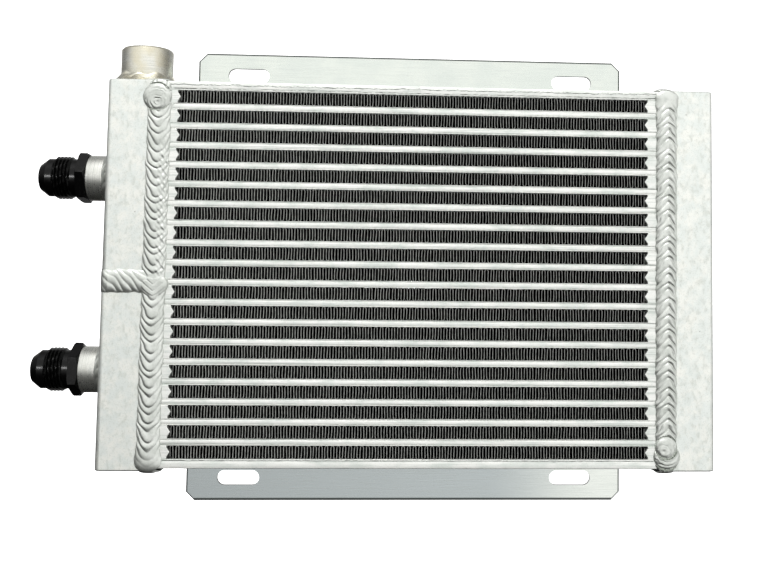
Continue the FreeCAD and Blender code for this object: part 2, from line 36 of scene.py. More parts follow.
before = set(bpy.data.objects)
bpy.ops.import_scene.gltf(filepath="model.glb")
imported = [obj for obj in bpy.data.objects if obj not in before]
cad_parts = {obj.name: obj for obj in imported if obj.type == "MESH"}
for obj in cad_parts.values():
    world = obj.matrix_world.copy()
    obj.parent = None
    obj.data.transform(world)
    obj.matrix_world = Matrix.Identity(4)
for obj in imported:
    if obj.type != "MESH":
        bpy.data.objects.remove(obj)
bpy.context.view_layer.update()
MM = 0.001


# ---------------------------------------------------------------- sizes of the part

def node_box(name):
    """Lowest and highest corner of a CAD node, as arrays."""
    low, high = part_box(name)
    return np.array(low), np.array(high)


PLATE_LOW, PLATE_HIGH = node_box("side_plate_top")
FRONT, BACK = PLATE_LOW[1], PLATE_HIGH[1]
MIDDLE_Y = (FRONT + BACK) / 2
CORE_X = (PLATE_LOW[0] + PLATE_HIGH[0]) / 2
CORE_TOP = PLATE_HIGH[2]
CORE_BOTTOM = node_box("side_plate_bottom")[0][2]
LEFT_JOINT, RIGHT_JOINT = PLATE_LOW[0], PLATE_HIGH[0]
TANK_LOW = node_box("left_tank_lower")[0]
TANK_HIGH = node_box("left_tank_upper")[1]
TANK_FACE = TANK_LOW[0]
ROWS = 19
FIN_PITCH = 1.778 * MM
SHEET = 0.5 * MM  # parting sheet
COVER = 1.0 * MM  # cover sheet, between the outermost fins and a side plate
PLATE = 4.8 * MM  # side plate
PASSAGE = 3.0 * MM  # height of an oil passage and of its bars
OIL_BAR = 5.0 * MM  # depth of an oil bar
BRACKET_HALF, BRACKET_REACH, BRACKET_CORNER = 141 * MM, 146 * MM, 5.5 * MM
SUNK = 0.15 * MM  # how far the edges of a weld sink into the faces that it joins


# ---------------------------------------------------------------- mesh helpers

def grid_faces(rows, columns, closed=False):
    """Quads of a grid of points, row by row; closed joins the last column to the first."""
    row = np.arange(rows - 1)[:, None]
    column = np.arange(columns if closed else columns - 1)[None, :]
    after = (column + 1) % columns
    corners = [row * columns + column, row * columns + after,
               (row + 1) * columns + after, (row + 1) * columns + column]
    quads = np.stack([np.broadcast_to(c, (rows - 1, column.size)) for c in corners], axis=-1)
    return quads.reshape(-1, 4)


def make(name, parts, material, nodes=(), sharp=40.0):
    """One piece from a list of (points, faces), smooth up to a sharp angle in degrees."""
    points, faces, count = [], [], 0
    for part_points, part_faces in parts:
        points.append(np.asarray(part_points, float).reshape(-1, 3))
        faces.extend((np.asarray(face) + count).tolist() for face in part_faces)
        count += len(points[-1])
    mesh = bpy.data.meshes.new(name)
    mesh.from_pydata(np.concatenate(points).tolist(), [], faces)
    mesh.update()
    mesh.materials.append(material)
    mesh.shade_smooth()
    mesh.set_sharp_from_angle(angle=math.radians(sharp))
    obj = bpy.data.objects.new(name, mesh)
    bpy.context.scene.collection.objects.link(obj)
    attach(obj, "root")
    if nodes:
        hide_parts(*nodes)


def waves(position, lengths, seed):
    """Smooth pseudo-random wobble between about -1 and 1, the same each run."""
    local = random.Random(seed)
    total = 0.0
    for length in lengths:
        turn = local.uniform(0, 2 * math.pi)
        stretch = local.uniform(0.85, 1.15)
        total = total + np.sin(np.asarray(position) * 2 * math.pi / (length * stretch) + turn)
    return total / len(lengths)


# ---------------------------------------------------------------- materials

class Tree:
    """Short way to write a node material. A value may be a number, a tuple or a socket."""

    def __init__(self, name):
        self.material = bpy.data.materials.new(name)
        self.material.use_nodes = True
        self.nodes = self.material.node_tree.nodes
        self.links = self.material.node_tree.links
        self.shader = self.nodes["Principled BSDF"]
        place = self.add("ShaderNodeTexCoord")
        self.position, self.facing = place.outputs["Object"], place.outputs["Normal"]

    def add(self, kind, inputs=None, **settings):
        """New node; inputs are given by name or number, settings are its own properties."""
        item = self.nodes.new(kind)
        for key, value in settings.items():
            setattr(item, key, value)
        for key, value in (inputs or {}).items():
            self.feed(item.inputs[key], value)
        return item

    def feed(self, socket, value):
        if isinstance(value, bpy.types.NodeSocket):
            self.links.new(value, socket)
        else:
            socket.default_value = value

    def set(self, **values):
        for key, value in values.items():
            self.feed(self.shader.inputs[key.replace("_", " ")], value)

    def noise(self, scale, stretch=(1, 1, 1), detail=3.0, rough=0.55):
        """Noise whose features are about 1/scale metres across."""
        where = self.add("ShaderNodeMapping", {"Vector": self.position, "Scale": stretch})
        return self.add("ShaderNodeTexNoise", {"Vector": where.outputs[0], "Scale": scale,
                                               "Detail": detail, "Roughness": rough}).outputs[0]

    def dots(self, scale, size):
        """1 in round spots of some cells, 0 elsewhere."""
        cells = self.add("ShaderNodeTexVoronoi", {"Vector": self.position, "Scale": scale})
        chosen = self.math("GREATER_THAN", self.part(cells.outputs["Color"], 0), 0.72)
        inside = self.ramp(cells.outputs["Distance"], size * 0.6, size, 1.0, 0.0)
        return self.math("MULTIPLY", chosen, inside)

    def part(self, vector, index):
        """One coordinate of a vector: 0 is X, 1 is Y and 2 is Z."""
        return self.add("ShaderNodeSeparateXYZ", {0: vector}).outputs[index]

    def math(self, operation, a, b=0.0, c=0.0):
        return self.add("ShaderNodeMath", {0: a, 1: b, 2: c}, operation=operation).outputs[0]

    def ramp(self, value, low, high, at_low=0.0, at_high=1.0):
        """Map a value smoothly from low..high to at_low..at_high."""
        return self.add("ShaderNodeMapRange", {"Value": value, 1: low, 2: high, 3: at_low,
                                               4: at_high}, interpolation_type="SMOOTHSTEP"
                        ).outputs[0]

    def mix(self, factor, a, b):
        """Colour a where factor is 0 and colour b where it is 1."""
        item = self.add("ShaderNodeMix", data_type="RGBA")
        self.feed(item.inputs[0], factor)
        self.feed(item.inputs[6], a)
        self.feed(item.inputs[7], b)
        return item.outputs[2]

    def bump(self, height, distance, strength=1.0, under=None):
        inputs = {"Height": height, "Distance": distance, "Strength": strength}
        if under is not None:
            inputs["Normal"] = under
        return self.add("ShaderNodeBump", inputs).outputs[0]


def rgb(red, green, blue):
    """Linear colour from 0-255 screen values."""
    return tuple(((c / 255 + 0.055) / 1.055) ** 2.4 if c > 10 else c / 255 / 12.92
                 for c in (red, green, blue)) + (1.0,)


def tank_plate():
    """Mill-finish plate, acid washed: cloudy, fine-grained, a few pits, painted shade on its
    rounded edges.
    """
    t = Tree("tank_plate")
    cloud = t.noise(95, detail=5, rough=0.65)
    grain = t.noise(1500, detail=2)
    soft = t.noise(420, (1, 1, 0.6), detail=3)
    color = t.mix(t.ramp(cloud, 0.38, 0.66), rgb(238, 243, 239), rgb(250, 251, 245))
    color = t.mix(t.ramp(soft, 0.5, 0.72, 0.0, 0.55), color, rgb(222, 226, 219))
    color = t.mix(t.ramp(grain, 0.5, 0.8, 0.0, 0.5), color, rgb(204, 209, 201))
    # painted edge shade: darker rounded edges, and a dark line along the top and the bottom of
    # the sides
    flat = t.math("ABSOLUTE", t.part(t.facing, 2))
    rim = t.math("MULTIPLY", t.ramp(flat, 0.55, 0.75), t.ramp(flat, 0.96, 0.99, 1.0, 0.0))
    level = t.part(t.position, 2)
    upper = t.ramp(level, TANK_HIGH[2] - 0.9 * MM, TANK_HIGH[2] - 0.35 * MM, 0.0, 0.45)
    lower = t.ramp(level, TANK_LOW[2] + 0.4 * MM, TANK_LOW[2] + 1.0 * MM, 0.9, 0.0)
    edge = t.math("MULTIPLY", t.math("ADD", upper, lower), t.ramp(flat, 0.9, 0.97, 1.0, 0.0))
    dark = t.math("MAXIMUM", t.math("MULTIPLY", rim, 0.75), edge)
    color = t.mix(dark, color, rgb(110, 114, 110))
    pits = t.dots(120, 0.07)
    color = t.mix(t.math("MULTIPLY", pits, 0.45), color, rgb(140, 146, 138))
    rough = t.ramp(soft, 0.3, 0.7, 0.42, 0.6)
    normal = t.bump(soft, 0.00012, 0.5)
    normal = t.bump(grain, 0.00005, 0.5, normal)
    t.set(Base_Color=color, Metallic=0.85, Roughness=rough, Normal=normal)
    return t.material


def core_bar():
    """Brazed bars and sheets: near white, drawn streaks along the width, painted groove shade
    along the braze lines.
    """
    t = Tree("core_bar")
    streak = t.noise(9, (1, 6, 160), detail=4)
    patch = t.noise(160, (0.5, 1, 1.5), detail=4)
    grain = t.noise(1300, detail=2)
    color = t.mix(t.ramp(patch, 0.4, 0.7), rgb(252, 253, 249), rgb(236, 241, 236))
    color = t.mix(t.ramp(streak, 0.52, 0.66, 0.0, 0.5), color, rgb(188, 196, 190))
    color = t.mix(t.ramp(grain, 0.5, 0.85, 0.0, 0.3), color, rgb(186, 190, 182))
    level = t.part(t.position, 2)
    wander = t.math("SUBTRACT", t.noise(150, (1, 0.2, 0.2), 4), 0.5)
    wander = t.math("MULTIPLY", wander, 2.6 * MM)
    # painted shade: wavy dark lines in the grooves along the side plates' edges and the braze
    # line on the top plate
    for place, drift, strength in ((CORE_TOP - PLATE, 0.15, 0.65),
                                   (CORE_TOP - 2.3 * MM, 1.0, 0.75),
                                   (CORE_BOTTOM + PLATE, 0.15, 0.55)):
        line = t.math("SUBTRACT", t.math("MULTIPLY_ADD", wander, drift, level), place)
        line = t.ramp(t.math("ABSOLUTE", line), 0.12 * MM, 0.5 * MM, strength, 0.0)
        color = t.mix(line, color, rgb(96, 102, 98))
    normal = t.bump(patch, 0.0003, 0.45)
    normal = t.bump(grain, 0.00004, 0.4, normal)
    t.set(Base_Color=color, Metallic=0.75, Roughness=t.ramp(patch, 0.3, 0.7, 0.4, 0.58),
          Normal=normal)
    return t.material


def fin_stock():
    """Rolled foil, bright at its cut edges, with painted shade that turns it near black and
    less shiny deeper in the core.
    """
    t = Tree("fin_stock")
    depth = t.part(t.position, 1)
    from_front = t.math("SUBTRACT", depth, FRONT)
    from_back = t.math("SUBTRACT", BACK, depth)
    inside = t.math("MINIMUM", from_front, from_back)
    # painted shade: near black from a little way in from the front and back faces
    depth_shade = t.ramp(inside, 0.08 * MM, 0.6 * MM)
    mottle = t.noise(500, detail=3)
    bright = t.mix(t.ramp(mottle, 0.35, 0.7), rgb(180, 182, 178), rgb(138, 141, 137))
    color = t.mix(depth_shade, bright, rgb(2, 2, 2))
    t.set(Base_Color=color, Roughness=0.6, Specular_IOR_Level=t.ramp(depth_shade, 0, 1, 0.5, 0.0))
    return t.material


def weld_metal():
    """Cast-looking bead: smooth and bright, with fine frost."""
    t = Tree("weld_metal")
    frost = t.noise(900, detail=3)
    patch = t.noise(140, detail=3)
    color = t.mix(t.ramp(patch, 0.35, 0.7), rgb(224, 227, 222), rgb(204, 208, 202))
    color = t.mix(t.ramp(frost, 0.5, 0.8, 0.0, 0.35), color, rgb(180, 185, 180))
    t.set(Base_Color=color, Metallic=0.9, Roughness=t.ramp(frost, 0.3, 0.7, 0.3, 0.44),
          Normal=t.bump(frost, 0.00006, 0.5))
    return t.material


def turned(name, axis, tint=None):
    """Turned aluminium: fine rings round the axis; tint is an optional heat colour."""
    t = Tree(name)
    stretch = [0.02, 0.02, 0.02]
    stretch[axis] = 1.0
    rings = t.noise(2600, tuple(stretch), detail=2)
    patch = t.noise(90, detail=4)
    fine = t.noise(1100, detail=2)
    color = t.mix(t.ramp(rings, 0.35, 0.7, 0.0, 0.8), rgb(236, 236, 230), rgb(196, 199, 194))
    color = t.mix(t.ramp(patch, 0.45, 0.7, 0.0, 0.5), color, rgb(195, 196, 186))
    if tint:
        color = t.mix(t.ramp(t.noise(60, detail=5), 0.36, 0.6, 0.1, 0.85), color, tint)
    color = t.mix(t.ramp(fine, 0.55, 0.8, 0.0, 0.3), color, rgb(176, 178, 170))
    normal = t.bump(rings, 0.00003, 0.5)
    t.set(Base_Color=color, Metallic=0.9, Roughness=t.ramp(fine, 0.3, 0.7, 0.26, 0.4),
          Normal=normal)
    return t.material


def black_anodised():
    """Black anodised machined aluminium, faint turning rings and dust."""
    t = Tree("black_anodised")
    rings = t.noise(2400, (1.0, 0.02, 0.02), detail=2)
    dust = t.noise(700, detail=4)
    color = t.mix(t.ramp(dust, 0.55, 0.8, 0.0, 0.5), rgb(3, 3, 3), rgb(15, 16, 15))
    t.set(Base_Color=color, Roughness=t.ramp(dust, 0.3, 0.7, 0.15, 0.24),
          Specular_IOR_Level=0.22, Normal=t.bump(rings, 0.00002, 0.5))
    return t.material


def bracket_sheet():
    """Rolled sheet with a lengthwise grain and painted shade on its edges; the lower one has
    painted shade, darkest at left.
    """
    t = Tree("bracket_sheet")
    grain = t.noise(60, (1, 30, 30), detail=4)
    cloud = t.noise(35, detail=4)
    fine = t.noise(1000, detail=2)
    color = t.mix(t.ramp(cloud, 0.38, 0.65), rgb(218, 224, 218), rgb(224, 229, 222))
    # painted shade: the lower bracket darker and bluer, lighter towards its right end
    below = t.ramp(t.part(t.position, 2), -0.05, 0.05, 1.0, 0.0)
    right = t.ramp(t.part(t.position, 0), 0.05, 0.135)
    lower = t.mix(right, rgb(183, 190, 191), rgb(234, 238, 232))
    color = t.mix(below, color, lower)
    color = t.mix(t.ramp(grain, 0.45, 0.75, 0.0, 0.3), color, rgb(196, 203, 199))
    color = t.mix(t.ramp(fine, 0.55, 0.85, 0.0, 0.2), color, rgb(170, 176, 172))
    # painted edge shade: dark line along the outline, and painted shadow on the walls in the
    # slots
    along = t.math("ABSOLUTE", t.part(t.position, 0))
    height = t.math("ABSOLUTE", t.part(t.position, 2))
    corner = t.math("SUBTRACT", t.math("ADD", along, height),
                    BRACKET_HALF + BRACKET_REACH - BRACKET_CORNER)
    edge = t.math("SUBTRACT", height, BRACKET_REACH)
    edge = t.math("MULTIPLY_ADD", below, 0.6 * MM, edge)
    outside = t.math("MAXIMUM", t.math("SUBTRACT", along, BRACKET_HALF), edge)
    outside = t.math("MAXIMUM", outside, corner)
    rim = t.ramp(outside, -1.2 * MM, -0.6 * MM, 0.0, 0.95)
    slot_wall_shade = t.ramp(t.math("ABSOLUTE", t.part(t.facing, 1)), 0.4, 0.7, 0.9, 0.0)
    slot_wall_shade = t.math("MULTIPLY", slot_wall_shade, t.math("GREATER_THAN", height, CORE_TOP + 4 * MM))
    color = t.mix(t.math("MAXIMUM", rim, slot_wall_shade), color, rgb(58, 62, 60))
    t.set(Base_Color=color, Metallic=0.95, Roughness=t.ramp(grain, 0.3, 0.7, 0.2, 0.28),
          Normal=t.bump(grain, 0.00006, 0.35))
    return t.material


def seal_rubber():
    """Black rubber with a little dust."""
    t = Tree("seal_rubber")
    dust = t.noise(900, detail=3)
    t.set(Base_Color=t.mix(t.ramp(dust, 0.5, 0.8), rgb(22, 22, 22), rgb(48, 48, 46)),
          Roughness=0.6, Normal=t.bump(dust, 0.00005, 0.5))
    return t.material


TANK = tank_plate()
BAR = core_bar()
FIN = fin_stock()
WELD = weld_metal()
SIDE_BUNG = turned("turned_side_bung", 0)
TOP_BUNG = turned("turned_top_bung", 2, rgb(214, 208, 186))
BLACK = black_anodised()
BRACKET = bracket_sheet()
RUBBER = seal_rubber()


# ---------------------------------------------------------------- core

def fin_outline(row):
    """Centre line of a corrugated fin across the width: rounded crests, uneven legs."""
    low, high = node_box("air_fin_%02d" % row)
    half = (high[2] - low[2]) / 2 - 0.11 * MM
    legs = int(round((high[0] - low[0]) / FIN_PITCH)) + 1
    start = low[0] + 0.1 * MM
    local = random.Random(100 + row)
    points = []
    side = 1
    for leg in range(legs):
        middle = start + leg * FIN_PITCH
        slow = waves(middle, (0.052, 0.021), 500 + row)
        bow = 0.2 * MM * slow + local.uniform(-0.05, 0.05) * MM
        lean = 0.16 * MM * waves(middle, (0.07, 0.03), 900 + row) + local.gauss(0, 0.05) * MM
        shift = local.gauss(0, 0.06) * MM
        for level in (-0.72, -0.36, 0.0, 0.36, 0.72):
            height = side * level
            points.append((middle + shift + bow * (1 - height * height) + lean * height,
                           height * half))
        if leg < legs - 1:
            reach = 1.0 + local.gauss(0, 0.012)
            for fraction in (0.16, 0.5, 0.84):
                lift = 0.93 + 0.07 * math.sin(math.pi * fraction)
                points.append((middle + FIN_PITCH * fraction,
                               side * half * min(lift * reach, 1.0)))
        side = -side
    return np.array(points)


def fin_sheet(row):
    """One air fin: the corrugated outline runs from front to back along a wavy path."""
    low, high = node_box("air_fin_%02d" % row)
    line = fin_outline(row)
    tangent = np.gradient(line, axis=0)
    normal = np.stack([-tangent[:, 1], tangent[:, 0]], axis=1)
    normal /= np.linalg.norm(normal, axis=1, keepdims=True)
    half_sheet = 0.09 * MM
    outline = np.concatenate([line + normal * half_sheet, (line - normal * half_sheet)[::-1]])
    steps = np.array([0, 0.35, 1.2, 2.4, 3.6, 4.8, 7.2, 9.6, 12, 14.4, 16.8, 19.2, 21.6, 24])
    steps = steps * MM
    depths = np.concatenate([steps, BACK - FRONT - steps[::-1]])
    wave_reach, wave_length, wave_start = 0.95 * MM, 9.6 * MM, 0.2 * MM
    across = wave_reach * np.sin(2 * math.pi * (depths - wave_start) / wave_length)
    # the waves die out at both ends, next to the end bars
    inward = np.clip(1 - np.abs(outline[:, 0] - CORE_X) / (high[0] - CORE_X), 0, 1)
    free = np.minimum(1, inward * 40)
    rings = []
    middle_z = (low[2] + high[2]) / 2
    for depth, side in zip(depths, across):
        rings.append(np.stack([outline[:, 0] + side * free,
                               np.full(len(outline), FRONT + depth),
                               outline[:, 1] + middle_z], axis=1))
    count = len(outline)
    points = np.concatenate(rings)
    faces = list(grid_faces(len(depths), count, closed=True))
    ends = np.arange(count // 2 - 1)
    cap = np.stack([ends, ends + 1, count - 2 - ends, count - 1 - ends], axis=1)
    faces += list(cap) + list((cap + (len(depths) - 1) * count)[:, ::-1])
    return points, faces


def long_bar(x_range, section, wobble, seed):
    """Bar along X with a section of (y, z) points that wander a little along it."""
    xs = np.linspace(x_range[0], x_range[1], 111)
    section = np.asarray(section)
    rise = waves(xs, (0.06, 0.017, 0.007), seed) * wobble
    push = waves(xs, (0.045, 0.013, 0.005), seed + 1) * wobble * 1.3
    points = np.empty((len(xs), len(section), 3))
    points[:, :, 0] = xs[:, None]
    points[:, :, 1] = section[None, :, 0] + push[:, None]
    points[:, :, 2] = section[None, :, 1] + rise[:, None]
    faces = list(grid_faces(len(xs), len(section), closed=True))
    last = (len(xs) - 1) * len(section)
    faces.append(np.arange(len(section))[::-1])
    faces.append(np.arange(len(section)) + last)
    return points.reshape(-1, 3), faces


def rounded_section(y_low, y_high, z_low, z_high, radius, steps=3):
    """Rectangle in the YZ plane with rounded corners."""
    points = []
    corners = ((y_high - radius, z_high - radius, 0), (y_low + radius, z_high - radius, 90),
               (y_low + radius, z_low + radius, 180), (y_high - radius, z_low + radius, 270))
    for y, z, start in corners:
        for step in range(steps + 1):
            angle = math.radians(start + 90 * step / steps)
            points.append((y + radius * math.cos(angle), z + radius * math.sin(angle)))
    return points


def row_middle(row):
    """Height of the middle of an air row."""
    low, high = node_box("air_fin_%02d" % row)
    return (low[2] + high[2]) / 2


def core():
    """Air fins, bars, sheets and plates of the core."""
    for row in range(1, ROWS + 1):
        make("fin_row_%02d" % row, [fin_sheet(row)], FIN, ["air_fin_%02d" % row],
             sharp=50)
    ends = (LEFT_JOINT + 0.05 * MM, RIGHT_JOINT - 0.05 * MM)
    bar_inset, sheet_inset, edge_inset = 0.22 * MM, 0.12 * MM, 0.1 * MM
    front_bars, rear_bars, sheets = [], [], []
    for row in range(1, ROWS):
        middle = (row_middle(row) + row_middle(row + 1)) / 2
        low, high = middle - PASSAGE / 2, middle + PASSAGE / 2
        section = rounded_section(FRONT + bar_inset, FRONT + OIL_BAR, low, high, 0.55 * MM)
        front_bars.append(long_bar(ends, section, 0.05 * MM, 40 + row))
        section = rounded_section(BACK - OIL_BAR, BACK - bar_inset, low, high, 0.55 * MM)
        rear_bars.append(long_bar(ends, section, 0.05 * MM, 140 + row))
        for side in (-1, 1):
            level = middle + side * (PASSAGE + SHEET) / 2
            section = rounded_section(FRONT + sheet_inset, BACK - sheet_inset,
                                      level - SHEET / 2, level + SHEET / 2, 0.2 * MM, 2)
            sheets.append(long_bar(ends, section, 0.06 * MM, 240 + 2 * row + side))
    make("passage_bars_front", front_bars, BAR, ["oil_bars_front"])
    make("passage_bars_rear", rear_bars, BAR, ["oil_bars_rear"])
    make("layer_sheets", sheets, BAR, ["parting_sheets"])
    covers = []
    for top, seed in ((CORE_TOP - PLATE, 385), (CORE_BOTTOM + PLATE + COVER, 315)):
        section = rounded_section(FRONT + edge_inset, BACK - edge_inset, top - COVER, top,
                                  0.3 * MM)
        covers.append(long_bar(ends, section, 0.08 * MM, seed))
    make("outer_sheets", covers, BAR, ["cover_sheets"])
    plates = (("top_plate", "side_plate_top", 61), ("bottom_plate", "side_plate_bottom", 62))
    for name, node, seed in plates:
        low, high = node_box(node)
        section = rounded_section(low[1] + edge_inset, high[1] - edge_inset,
                                  low[2] + 0.05 * MM, high[2] - edge_inset, 0.5 * MM)
        make(name, [long_bar(ends, section, 0.07 * MM, seed)], BAR, [node])


def braze_lines():
    """Uneven braze fillets squeezed out under the top plate and over the bottom one."""
    parts = []
    lines = ((CORE_TOP - PLATE, 0.3 * MM, 71), (CORE_TOP - 2.2 * MM, 0.45 * MM, 72),
             (CORE_BOTTOM + PLATE, 0.3 * MM, 73))
    xs = np.linspace(LEFT_JOINT + 22 * MM, RIGHT_JOINT - 8 * MM, 700)
    angles = np.linspace(0, 2 * math.pi, 9)[:-1]
    for height, radius, seed in lines:
        thick = radius * (0.75 + 0.45 * waves(xs, (0.013, 0.0052, 0.0023), seed))
        rise = 0.3 * MM * waves(xs, (0.021, 0.0078), seed + 5)
        points = np.empty((len(xs), len(angles), 3))
        points[:, :, 0] = xs[:, None]
        points[:, :, 1] = FRONT + 0.25 * MM - thick[:, None] * np.sin(angles)[None, :]
        points[:, :, 2] = height + rise[:, None] + thick[:, None] * np.cos(angles)[None, :]
        faces = list(grid_faces(len(xs), len(angles), closed=True))
        parts.append((points.reshape(-1, 3), faces))
    make("braze_fillets", parts, WELD)


# ---------------------------------------------------------------- welds

def ripple_shape(phase):
    """Overlapping scales, 0 to 1: each is a lopsided dome, with a crease at whole numbers."""
    step = phase - np.floor(phase)
    return 1 - np.where(step < 0.6, (step - 0.6) / 0.6, (step - 0.6) / 0.4) ** 2


def rounded_ends(u, length, width, rounded):
    """Share of a bead's full width at each place along it, less near its rounded ends."""
    taper = np.ones_like(u)
    for use, distance in ((rounded[0], u), (rounded[1], length - u)):
        if use:
            near = np.clip(distance / (width * 0.42), 0, 1)
            taper = np.minimum(taper, np.sqrt(1 - (1 - near) ** 2))
    return taper


def spatter(u, v, w, seed):
    """Uneven dabs, about -1 to 1, on one side of a bead and on a stretch of its length."""
    dabs = waves(u + 0.6 * v, (0.0062, 0.0043), seed)
    dabs = dabs * waves(v - 0.4 * u, (0.008, 0.005), seed + 1)
    dabs = dabs + 0.6 * waves(u - 1.3 * v, (0.0071, 0.0034), seed + 2)
    begins = np.clip((u - 30 * MM) / (20 * MM), 0, 1)
    stops = np.clip((125 * MM - u) / (8 * MM), 0, 1)
    return dabs * np.clip(w * 2.0, 0, 1) * begins * stops


def bead(start, along, across, out, length, width, crown, pitch, depth, apex=0.0, power=0.0,
         ripple=0.55 * MM, seed=1, blobs=(), rounded=(True, True), slant=0.0, lean=(0, 0),
         sense=1, rough=0.0, tallest=2.12 * MM, head=0.0, foot=0.0):
    """Weld bead on a flat face: u runs along it and v across it, from start.

    Ripples are arcs whose middle lies depth further along; apex moves that middle sideways,
    power 0 makes the arcs round, slant leans them and sense -1 turns their creases round.
    lean shifts the bead sideways at its start and its end; head and foot, 0 to 1, make an
    end wider and calmer. rough is the height of spatter on one half of the bead. blobs give
    a height or nan for places on the face, and the half width that they need.
    """
    start, along, across, out = (np.asarray(v, float) for v in (start, along, across, out))
    u = np.arange(0, length + 1e-9, 0.26 * MM)
    v = np.sin(np.linspace(-math.pi / 2, math.pi / 2, 57))
    ends = (head * np.exp(-(u / (11 * MM)) ** 4)
            + foot * np.exp(-((length - u) / (12 * MM)) ** 4))
    base = width / 2 * (1 + 0.05 * waves(u, (0.019, 0.0072), seed) + 0.16 * ends)
    half = base
    for blob in blobs:
        half = np.maximum(half, blob.reach(u))
    taper = rounded_ends(u, length, width, rounded)
    meander = 0.25 * MM * waves(u, (0.03, 0.011), seed + 3)
    meander = meander + lean[0] + (lean[1] - lean[0]) * u / length
    place_v = v[None, :] * (half * np.maximum(taper, 0.02))[:, None] + meander[:, None]
    # w is -1 and 1 at the edges of the bead itself, also where a blob makes it wider
    w = np.clip(v[None, :] * (half / base)[:, None], -1, 1)
    edge = np.power(np.clip(1 - w ** 6, 0, 1), 0.5) * taper[:, None]

    aside = np.clip(np.abs(w - apex) / (1 + abs(apex)), 0, 1)
    arc = np.power(aside, power) if power else 1 - np.sqrt(1 - 0.95 * aside ** 2)
    drift = 0.22 * waves(u, (0.024, 0.0093), seed + 9)[:, None]
    phase = sense * ((u[:, None] - depth * (1 - arc) + slant * w) / pitch + drift)
    size = 1 + 0.25 * waves(u, (0.017, 0.006), seed + 15)[:, None]
    calm = np.clip(1 - 0.9 * ends, 0, 1)[:, None]
    body = np.power(np.clip(1 - np.abs(w) ** 2.2, 0, 1), 0.62) * crown * taper[:, None]
    height = body * 0.88 + ripple * size * calm * (ripple_shape(phase) - 0.5) * edge
    if rough:
        height = height + rough * spatter(u[:, None], place_v, w, seed + 21) * edge

    height = np.where(np.abs(w) >= 1, -SUNK, height)
    for blob in blobs:
        raised = blob.height(u[:, None], place_v)
        height = np.where(np.isnan(raised), height, np.maximum(raised, height * blob.keep))
    height = np.clip(height, -SUNK, tallest)
    height[:, 0] = -SUNK
    height[:, -1] = -SUNK
    points = (start[None, None, :] + u[:, None, None] * along + place_v[:, :, None] * across
              + height[:, :, None] * out)
    return points.reshape(-1, 3), list(grid_faces(len(u), len(v)))


class Crater:
    """Round last puddle of a bead, with rings about an off-centre eye."""

    keep = 0.25  # share of the bead's own height that stays under the puddle's edge

    def __init__(self, place, offset, radius, top, dip=0.6 * MM, eye=(0.0, 0.0),
                 ring=2.1 * MM, tall=1.0):
        self.place, self.offset, self.radius, self.top = place, offset, radius, top
        self.dip, self.eye, self.ring, self.tall = dip, eye, ring, tall

    def reach(self, u):
        inside = 1 - ((u - self.place) / (self.radius * self.tall)) ** 2
        wide = self.radius * np.sqrt(np.clip(inside, 0, 1)) + abs(self.offset)
        return np.where(inside > 0, wide, 0)

    def height(self, u, v):
        t = np.hypot((u - self.place) / self.tall, v - self.offset) / self.radius
        eye_u, eye_v = self.place + self.eye[0], self.offset + self.eye[1]
        far = np.hypot((u - eye_u) / self.tall, v - eye_v)
        mound = self.top * np.power(np.clip(1 - t ** 4, 0, None), 0.62)
        mound = mound - self.dip * np.exp(-(far / (self.radius * 0.3)) ** 2)
        wander = (waves(u + 0.7 * v, (0.0093, 0.0052), 31)
                  * waves(v - 0.5 * u, (0.0087, 0.0046), 32))
        far = far + 0.9 * MM * wander
        uneven = 0.3 * MM * (1 + 0.8 * waves(v + 0.8 * u, (0.0121, 0.0067), 33))
        mound = mound + uneven * (ripple_shape(far / self.ring) - 0.5)
        return np.where(t < 1, mound, np.nan)


class Chevron:
    """Junction of two beads: nested V-shaped ripples on a heart-shaped mound."""

    keep = 0.95

    def __init__(self, place, radius, top):
        self.place, self.radius, self.top = place, radius, top

    def reach(self, u):
        inside = 1 - ((u - self.place) / self.radius) ** 2
        return np.where(inside > 0, self.radius * 1.12 * np.sqrt(np.clip(inside, 0, 1)), 0)

    def height(self, u, v):
        down, side = (u - self.place) / self.radius, np.abs(v) / self.radius
        lower = np.where(down > 0, 0.35 * side * down, 0)
        notch = np.where(down < 0, 0.3 * (1 - side).clip(0) * -down, 0)
        t = np.hypot(down, side * 0.92) + lower + notch
        mound = self.top * np.power(np.clip(1 - t ** 4, 0, None), 0.42)
        phase = (down + 0.85 * side) * self.radius / (4.0 * MM) + 0.15
        mound = mound + 0.5 * MM * (ripple_shape(phase) - 0.5) * np.clip(1.6 - 1.4 * t, 0, 1)
        return np.where(t < 1, mound, np.nan)


def tank_weld(name, node, joint, width, crown, seed, under_bung, blobs, front):
    """Bead round a tank's joint: front and back runs, and the runs over both ends.

    Beside the top port's bung, the run over the top is a short piece from each face.
    """
    top, bottom = TANK_HIGH[2], TANK_LOW[2]
    past_end = 0.5 * MM
    length = top - bottom + 2 * past_end
    plain = dict(pitch=5.6 * MM, depth=7 * MM)
    side, up, down, back = (1, 0, 0), (0, 0, 1), (0, 0, -1), (0, 1, 0)
    parts = [bead((joint, FRONT, top + past_end), down, side, (0, -1, 0), length, width, crown,
                  blobs=blobs, seed=seed, **front),
             bead((joint, BACK, bottom - past_end), up, side, back, length, width, crown * 0.9,
                  seed=seed + 20, **plain)]
    if not under_bung:
        parts.append(bead((joint, FRONT, top), back, side, up, BACK - FRONT, width, crown * 0.9,
                          seed=seed + 31, **plain))
    parts.append(bead((joint, FRONT, bottom), back, side, down, BACK - FRONT, width,
                      crown * 0.9, seed=seed + 32, **plain))
    if under_bung:
        for y, way in ((FRONT, 1), (BACK, -1)):
            parts.append(bead((joint, y, top), (0, way, 0), side, up, 7 * MM, width,
                              crown * 0.8, seed=seed + 50, **plain))
    make(name, parts, WELD, [node], sharp=60)


